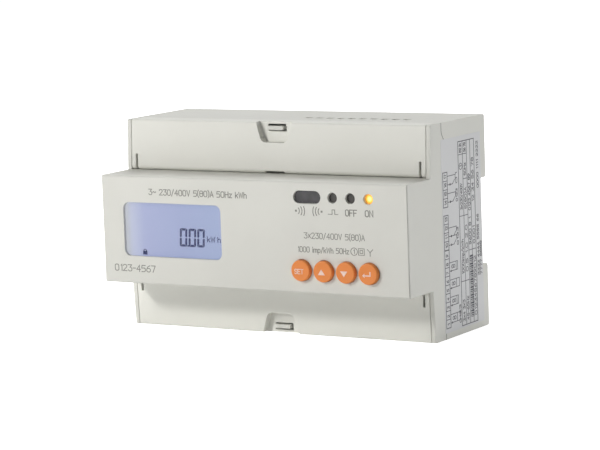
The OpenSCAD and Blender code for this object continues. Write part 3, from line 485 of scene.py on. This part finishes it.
# Strokes of each character on a grid 4 wide and 6 high.
OVAL = [(0, 1), (0, 5), (1, 6), (3, 6), (4, 5), (4, 1), (3, 0), (1, 0), (0, 1)]
LETTERS = {
    "0": [OVAL],
    "1": [[(1, 5), (2, 6), (2, 0)]],
    "2": [[(0, 5), (1, 6), (3, 6), (4, 5), (4, 4), (0, 0), (4, 0)]],
    "3": [[(0, 6), (4, 6), (2, 3.6), (3, 3.6), (4, 2.6), (4, 1), (3, 0), (1, 0), (0, 1)]],
    "4": [[(3, 0), (3, 6), (0, 2), (4, 2)]],
    "5": [[(4, 6), (0.4, 6), (0, 3.4), (3, 3.6), (4, 2.6), (4, 1), (3, 0), (0, 0)]],
    "6": [[(3.6, 6), (1.4, 5), (0, 2.6), (0, 1), (1, 0), (3, 0), (4, 1), (4, 2.4), (3, 3.4), (0.6, 3.2)]],
    "7": [[(0, 6), (4, 6), (1.4, 0)]],
    "8": [OVAL, [(0.6, 3.2), (3.4, 3.2)]],
    "9": [[(0.4, 0), (2.6, 1), (4, 3.4), (4, 5), (3, 6), (1, 6), (0, 5), (0, 3.6), (1, 2.6), (3.4, 2.8)]],
    "A": [[(0, 0), (2, 6), (4, 0)], [(0.7, 2), (3.3, 2)]],
    "E": [[(4, 6), (0, 6), (0, 0), (4, 0)], [(0, 3.1), (3.2, 3.1)]],
    "F": [[(4, 6), (0, 6), (0, 0)], [(0, 3.1), (3.2, 3.1)]],
    "H": [[(0, 0), (0, 6)], [(4, 0), (4, 6)], [(0, 3.1), (4, 3.1)]],
    "N": [[(0, 0), (0, 6), (4, 0), (4, 6)]],
    "O": [OVAL],
    "S": [[(4, 5), (3, 6), (1, 6), (0, 5), (0, 4), (1, 3.2),
           (3, 2.8), (4, 2), (4, 1), (3, 0), (1, 0), (0, 1)]],
    "T": [[(0, 6), (4, 6)], [(2, 6), (2, 0)]],
    "V": [[(0, 6), (2, 0), (4, 6)]],
    "W": [[(0, 6), (1, 0), (2.5, 5), (4, 0), (5, 6)]],
    "h": [[(0, 0), (0, 6)], [(0, 3), (1.2, 4), (2.4, 4), (3.2, 3.2), (3.2, 0)]],
    "i": [[(0.5, 0), (0.5, 4)], [(0.5, 5.4), (0.5, 6)]],
    "k": [[(0, 0), (0, 6)], [(3, 4), (0, 1.6)], [(1.2, 2.6), (3.2, 0)]],
    "m": [[(0, 0), (0, 4)], [(0, 3.2), (1, 4), (2, 4), (2.6, 3.2), (2.6, 0)],
          [(2.6, 3.2), (3.4, 4), (4.4, 4), (5.2, 3.2), (5.2, 0)]],
    "p": [[(0, -2), (0, 4)], [(0, 3), (1, 4), (2.4, 4), (3.4, 3), (3.4, 1), (2.4, 0), (1, 0), (0, 1)]],
    "z": [[(0, 4), (3.2, 4), (0, 0), (3.2, 0)]],
    "/": [[(0, -0.6), (3, 6.4)]],
    "(": [[(1.4, 7), (0, 5), (0, 1), (1.4, -1)]],
    ")": [[(0, 7), (1.4, 5), (1.4, 1), (0, -1)]],
    "~": [[(0, 2.6), (1, 3.6), (3, 2.4), (4, 3.4)]],
    "x": [[(0, 0.6), (3.4, 4.6)], [(0, 4.6), (3.4, 0.6)]],
    "-": [[(0, 3), (2.6, 3)]],
    ".": [[(0.3, 0), (0.3, 0.7)]],
    " ": [],
}
GRID_HEIGHT = 6.0
GRID_GAP = 1.5
SPACE = 2.0


class Marks:
    """Flat marks gathered in one mesh; place turns (across, up, out) in millimetres into a point."""

    def __init__(self, place):
        self.work = bmesh.new()
        self.place = place

    def slab(self, outline):
        """A closed flat shape as thick as the ink."""
        ink = INK / MM
        front = [self.work.verts.new(self.place(u, v, ink)) for u, v in outline]
        back = [self.work.verts.new(self.place(u, v, 0.0)) for u, v in outline]
        self.work.faces.new(front)
        self.work.faces.new(list(reversed(back)))
        count = len(outline)
        for i in range(count):
            j = (i + 1) % count
            self.work.faces.new((front[i], back[i], back[j], front[j]))

    def stroke(self, points, width):
        """A line of one width along some points, with mitred corners."""
        points = [Vector(p) for p in points]
        closed = (points[0] - points[-1]).length < 1e-6
        if closed:
            points = points[:-1]
        left, right = [], []
        count = len(points)
        for i, point in enumerate(points):
            before = points[i - 1] if closed or i else None
            after = points[(i + 1) % count] if closed or i < count - 1 else None
            ways = [(b - a).normalized() for a, b in ((before, point), (point, after)) if a and b]
            sides = [Vector((-w.y, w.x)) for w in ways]
            side = sum(sides, Vector((0, 0))).normalized()
            reach = width / 2 / max(0.45, side.dot(sides[0]))
            end = Vector((0, 0))
            if before is None:
                end = -ways[0] * width / 2
            if after is None:
                end = ways[0] * width / 2
            left.append(point + side * reach + end)
            right.append(point - side * reach + end)
        for i in range(count if closed else count - 1):
            j = (i + 1) % count
            self.slab((left[i], right[i], right[j], left[j]))

    def box(self, u0, v0, u1, v1):
        self.slab(((u0, v0), (u0, v1), (u1, v1), (u1, v0)))

    def frame(self, u0, v0, u1, v1, width):
        self.stroke(((u0, v0), (u1, v0), (u1, v1), (u0, v1), (u0, v0)), width)

    def ring(self, u, v, radius, width, start=0, stop=360, steps=16):
        turns = [math.radians(start + (stop - start) * i / steps) for i in range(steps + 1)]
        self.stroke([(u + radius * math.cos(t), v + radius * math.sin(t)) for t in turns], width)

    def text(self, words, u0, u1, v0, height, width):
        """A row of characters fitted between two places."""
        spans = [max((x for line in LETTERS[c] for x, y in line), default=SPACE) for c in words]
        total = sum(spans) + GRID_GAP * (len(words) - 1)
        wide = (u1 - u0) / total
        high = height / GRID_HEIGHT
        at = u0
        for c, span in zip(words, spans):
            for line in LETTERS[c]:
                self.stroke([(at + x * wide, v0 + y * high) for x, y in line], width)
            at += (span + GRID_GAP) * wide

    def piece(self, name, body, slot, paint):
        bmesh.ops.recalc_face_normals(self.work, faces=self.work.faces)
        mesh = bpy.data.meshes.new(name)
        self.work.to_mesh(mesh)
        self.work.free()
        return new_piece(name, mesh, body, PAINTS[paint])


def on_front(depth):
    """Places for marks that face the front, on a plane at this depth."""
    return lambda u, v, out: (u * MM, (depth - out) * MM, v * MM)


def on_side(x):
    """Places for marks that face right and read upwards: across is up, up is towards the front."""
    return lambda u, v, out: ((x + out) * MM, -v * MM, u * MM)


def front_marks():
    """Ratings and symbols on the raised block."""
    low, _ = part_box("front_case")
    marks = Marks(on_front(low.y / MM))
    thin, line = 0.27, 0.34
    marks.text("3~ 230/400V 5(80)A 50Hz kWh", -48.5, -1.4, 14.9, 2.3, line)
    marks.text("0123-4567", -66.9, -46.9, -17.4, 2.6, line)
    # The infrared port's mark: waves that spread from a dot.
    marks.box(21.2, 10.3, 22.0, 11.1)
    for i in range(3):
        spread = 44 - 9 * i
        marks.ring(21.6, 10.7, 1.6 + 1.2 * i, line, -spread, spread, 8)
        marks.ring(33.4, 10.7, 1.6 + 1.2 * i, line, 180 - spread, 180 + spread, 8)
    marks.box(33.0, 10.3, 33.8, 11.1)
    marks.stroke(((36.4, 9.8), (38.2, 9.8), (38.2, 11.6), (39.4, 11.6), (39.4, 9.8), (40.8, 9.8)), thin)
    marks.text("OFF", 44.3, 49.3, 9.4, 2.4, line + 0.04)
    marks.text("ON", 53.2, 56.6, 9.4, 2.4, line + 0.04)
    marks.text("3x230/400V 5(80)A", 25.0, 52.5, -0.2, 2.2, thin)
    marks.text("1000 imp/kWh 50Hz", 21.8, 45.2, -5.8, 2.1, thin)
    # Accuracy class in a ring, double insulation and the star connection.
    marks.ring(47.6, -4.7, 1.5, thin)
    marks.text("1", 47.2, 47.8, -5.5, 1.6, thin)
    marks.frame(49.6, -6.0, 52.2, -3.4, thin)
    marks.frame(50.3, -5.3, 51.5, -4.1, thin)
    marks.stroke(((53.6, -3.6), (54.8, -4.8), (56.0, -3.6)), thin)
    marks.stroke(((54.8, -4.8), (54.8, -6.2)), thin)
    marks.piece("front_marks", HOUSING, "housing_plastic", "mark_grey")


def digit_zero(marks, u0, v0, u1, v1, t):
    """Six lit segments of a figure nought, a little slanted."""
    gap = 0.1
    bend = 0.35
    middle = (v0 + v1) / 2

    def lean(points):
        return [(u + 0.05 * (v - v0), v) for u, v in points]

    for v, way in ((v1, -1), (v0, 1)):
        marks.slab(lean(((u0 + bend + gap, v), (u0 + t + gap, v + way * t), (u1 - t - gap, v + way * t),
                         (u1 - bend - gap, v))))
        for u, side in ((u0, 1), (u1, -1)):
            marks.slab(lean(((u, v + way * (bend + gap)), (u + side * bend, v + way * gap),
                             (u + side * t, v + way * (t + gap)), (u + side * t, middle - way * (gap + 0.3)),
                             (u + side * t / 2, middle - way * gap), (u, middle - way * (gap + 0.3)))))


def display_marks():
    """What the liquid crystal shows: 0.00 kWh and a padlock."""
    low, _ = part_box("display_glass")
    marks = Marks(on_front(low.y / MM))
    for u0, u1 in ((-36.1, -32.5), (-31.8, -28.2), (-27.6, -24.0)):
        digit_zero(marks, u0, -6.5, u1, 1.1, 0.95)
    marks.box(-32.3, -6.5, -31.7, -5.8)
    marks.text("kW", -22.5, -18.9, -4.1, 2.1, 0.34)
    marks.text("h", -17.5, -16.3, -4.1, 2.1, 0.34)
    marks.box(-54.4, -10.6, -52.3, -9.0)
    marks.ring(-53.35, -9.1, 0.7, 0.32, 0, 180, 8)
    marks.piece("display_segments", HOUSING, "display_glass", "segment_blue")


def parting_line():
    """Painted shade: a dark ink ribbon where the gap between the two cases falls into shade on the side,
    above and below the label.
    """
    low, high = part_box("side_label")
    _, shell_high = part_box("rear_case")
    marks = Marks(on_side(shell_high.x / MM))
    depth, inner, bend, half = 34.0, 31.8, 38.0, 2.6
    width, steps = 0.26, 8
    edge = shell_high.z / MM - 0.15
    points = [(edge, depth), (bend + half, depth)]
    for i in range(1, steps):
        t = i / steps
        points.append((bend + half - 2 * half * t, depth + (inner - depth) * t * t * (3 - 2 * t)))
    points.append((high.z / MM + 0.05, inner + 0.25))
    marks.stroke([p for p in points if p[0] > high.z / MM], width)
    marks.stroke(((-edge, depth), (low.z / MM - 0.05, depth)), width)
    marks.piece("parting_line", HOUSING, "housing_plastic", "painted_joint_shade")


# ---------------------------------------------------------------- side label

def side_label():
    """A film with generic tables, numbers and a terminal plan, in place of the plain label."""
    low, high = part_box("side_label")
    film_x = high.x - INK
    corner = 0.8 * MM
    work = bmesh.new()
    outline = []
    for cy, cz, start in ((high.y - corner, high.z - corner, 0), (low.y + corner, high.z - corner, 90),
                          (low.y + corner, low.z + corner, 180), (high.y - corner, low.z + corner, 270)):
        for i in range(5):
            turn = math.radians(start + 22.5 * i)
            outline.append((cy + corner * math.cos(turn), cz + corner * math.sin(turn)))
    front = [work.verts.new((film_x, y, z)) for y, z in outline]
    back = [work.verts.new((low.x, y, z)) for y, z in outline]
    work.faces.new(front)
    work.faces.new(list(reversed(back)))
    for i in range(len(outline)):
        j = (i + 1) % len(outline)
        work.faces.new((front[i], back[i], back[j], front[j]))
    bmesh.ops.recalc_face_normals(work, faces=work.faces)
    mesh = bpy.data.meshes.new("side_label_film")
    work.to_mesh(mesh)
    work.free()
    film_piece = new_piece("side_label_film", mesh, HOUSING, PAINTS["label_film"])
    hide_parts("side_label")

    marks = Marks(on_side(film_x / MM))
    thin = 0.26
    # Terminal strips: cells in a row, each with its number and a wire.
    number = 1
    for start, count in ((-39.3, 9), (-7.7, 4), (9.6, 4)):
        pitch = 3.5
        marks.frame(start, 30.0, start + count * pitch, 33.8, 0.32)
        for i in range(count):
            u = start + i * pitch
            if i:
                marks.stroke(((u, 30.0), (u, 33.8)), thin)
            words = str(number)
            marks.text(words, u + 0.9, u + 0.9 + 0.9 * len(words), 31.0, 1.6, thin)
            number += 1
    # Phase wires with their current coils, to the load on the left of the plan.
    for i in range(4):
        u = -37.5 + 7.0 * i
        reach = 21.6 + 1.3 * (i % 2)
        marks.stroke(((u, 30.0), (u, reach)), thin)
        marks.stroke(((u + 3.4, 30.0), (u + 3.4, reach), (u, reach)), thin)
        for k in range(2):
            marks.ring(u + 1.7, 26.0 + 1.5 * k, 0.7, thin, 0, 360, 8)
        marks.slab([(u + 0.45 * math.cos(math.pi * k / 4), 28.6 + 0.45 * math.sin(math.pi * k / 4))
                    for k in range(8)])
        marks.stroke(((u, 24.2), (u + 3.4, 24.2)), thin)
    for u in (-6.0, -2.5, 11.4, 18.4):
        marks.stroke(((u, 30.0), (u, 25.4), (u + 1.6, 23.6)), thin)
        marks.stroke(((u + 3.5, 30.0), (u + 3.5, 23.0), (u + 1.9, 23.0)), thin)
        marks.slab([(u + 0.5 * math.cos(math.pi * k / 4), 27.6 + 0.5 * math.sin(math.pi * k / 4))
                    for k in range(8)])
    for u0, u1, v in ((-6.6, 0.4, 21.4), (11.0, 16.0, 21.4), (18.4, 22.6, 21.4), (-38.6, -31.4, 20.8)):
        marks.text("01" if u1 - u0 < 5 else "0123", u0, u1, v, 1.3, thin)
    # The table of ratings.
    left, right, inner, outer = -40.3, 34.7, 20.0, 5.9
    marks.frame(left, outer, right, inner, 0.32)
    for v in (16.1, 12.5, 9.4):
        marks.stroke(((left, v), (right, v)), thin)
    for u, v0, v1 in ((29.4, 12.5, 20.0), (19.3, 12.5, 16.1), (4.4, 12.5, 20.0), (-10.3, 5.9, 12.5),
                      (-22.3, 12.5, 20.0)):
        marks.stroke(((u, v0), (u, v1)), thin)
    for words, u0, u1, v in (("012 34", 30.2, 33.8, 17.2), ("56 78", 30.2, 33.8, 13.4),
                             ("3x230/400V", 7.0, 17.6, 17.1), ("50Hz", 20.6, 25.6, 13.5),
                             ("5(80)A", 7.0, 15.6, 13.5), ("1000imp/kWh", -19.4, -5.2, 17.1),
                             ("0.5 1.0 2.0", -18.6, 0.2, 13.5), ("3x4 3x3", -38.6, -30.0, 17.1),
                             ("45-65Hz", -38.6, -29.0, 13.5), ("0123 4567 89", 6.0, 20.8, 10.1),
                             ("9600 8 1", -8.0, 3.0, 10.1), ("0.001", -8.0, -1.0, 6.8),
                             ("12 34 56 78", 9.0, 27.0, 6.8)):
        marks.text(words, u0, u1, v, 1.7, thin)
    marks.ring(24.6, 18.0, 1.3, thin)
    marks.text("1", 24.2, 24.8, 17.3, 1.4, thin)
    # Serial bars beside their numbers.
    u = -38.0
    step = 0
    while u < -13.0:
        bar = 0.25 + 0.17 * (step * 5 % 4)
        marks.box(u, 9.0, u + bar, 11.8)
        u += bar + 0.3 + 0.15 * (step * 3 % 3)
        step += 1
    marks.text("0123456789012", -37.6, -13.4, 6.6, 1.7, thin)
    for words, u0, u1, v in (("0000 1111 2222", 14.3, 33.3, 2.4), ("3333 4444 5555 66", -21.7, 3.3, 3.2),
                             ("7777 8888", -21.7, -8.0, 1.0)):
        marks.text(words, u0, u1, v, 1.5, thin)
    marks.piece("side_marks", HOUSING, "label_film", "mark_side")


# ---------------------------------------------------------------- buttons

def turned(name, profile, middle, body, paint, segments=64):
    """A piece turned about an axis along Y from (radius, depth) pairs in metres."""
    work = bmesh.new()
    rings = []
    for radius, depth in profile:
        if radius < 1e-9:
            rings.append([work.verts.new((middle.x, depth, middle.z))])
            continue
        ring = []
        for i in range(segments):
            turn = 2 * math.pi * i / segments
            ring.append(work.verts.new((middle.x + radius * math.cos(turn), depth,
                                        middle.z + radius * math.sin(turn))))
        rings.append(ring)
    for a, b in zip(rings, rings[1:]):
        for i in range(segments):
            j = (i + 1) % segments
            corners = [a[i % len(a)], a[j % len(a)], b[j % len(b)], b[i % len(b)]]
            work.faces.new(list(dict.fromkeys(corners)))
    bmesh.ops.recalc_face_normals(work, faces=work.faces)
    for face in work.faces:
        face.smooth = True
    mesh = bpy.data.meshes.new(name)
    work.to_mesh(mesh)
    work.free()
    mesh.set_sharp_from_angle(angle=math.radians(40))
    return new_piece(name, mesh, body, paint)


def button(name, draw):
    """A push button with a broken front edge and a printed symbol."""
    low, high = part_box(name + "_button")
    middle = (low + high) / 2
    flange = (high.x - low.x) / 2
    radius = flange - 0.7 * MM
    face = low.y + INK
    edge = 0.55 * MM
    wall_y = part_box("front_case")[0].y + 2.5 * MM
    stem = 2.0 * MM
    dish = 0.12 * MM
    rounding = [(radius - edge + edge * math.sin(math.radians(15 * i)),
                 face + edge - edge * math.cos(math.radians(15 * i))) for i in range(7)]
    top = [(0, face + dish), (radius * 0.55, face + dish), (radius - edge - 0.25 * MM, face)]
    below = [(radius, wall_y + 0.1 * MM), (flange, wall_y + 0.1 * MM), (flange, wall_y + 1.1 * MM),
             (stem, wall_y + 1.1 * MM), (stem, high.y), (0, high.y)]
    profile = top + rounding + below
    piece = turned(name + "_button_cap", profile, middle, name + "_key",
                   PAINTS["button_plastic"])
    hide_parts(name + "_button")
    marks = Marks(on_front((face + dish) / MM))
    draw(marks, middle.x / MM - 0.6, middle.z / MM - 0.35)
    marks.piece(name + "_symbol", name + "_key", "button_plastic", "mark_pale")


def draw_set(marks, x, z):
    marks.text("SET", x - 2.0, x + 1.9, z - 0.9, 1.8, 0.3)


def draw_up(marks, x, z):
    marks.slab(((x - 1.6, z - 1.0), (x, z + 1.3), (x + 1.6, z - 1.0)))


def draw_down(marks, x, z):
    marks.slab(((x - 1.6, z + 1.0), (x, z - 1.3), (x + 1.6, z + 1.0)))


def draw_enter(marks, x, z):
    marks.slab(((x - 1.9, z - 0.3), (x - 0.9, z + 0.6), (x - 0.9, z - 1.2)))
    marks.stroke(((x - 0.9, z - 0.3), (x + 1.6, z - 0.3), (x + 1.6, z + 1.1)), 0.5)


make_camera()
PAINTS = make_paints()
make_studio()
paint_nodes()
rounded("front_case", "housing_plastic")
for name in ("upper_cover", "lower_cover"):
    rounded(name, "cover_plastic")
front_marks()
display_marks()
parting_line()
side_label()
for name, draw in (("set", draw_set), ("up", draw_up), ("down", draw_down), ("enter", draw_enter)):
    button(name, draw)
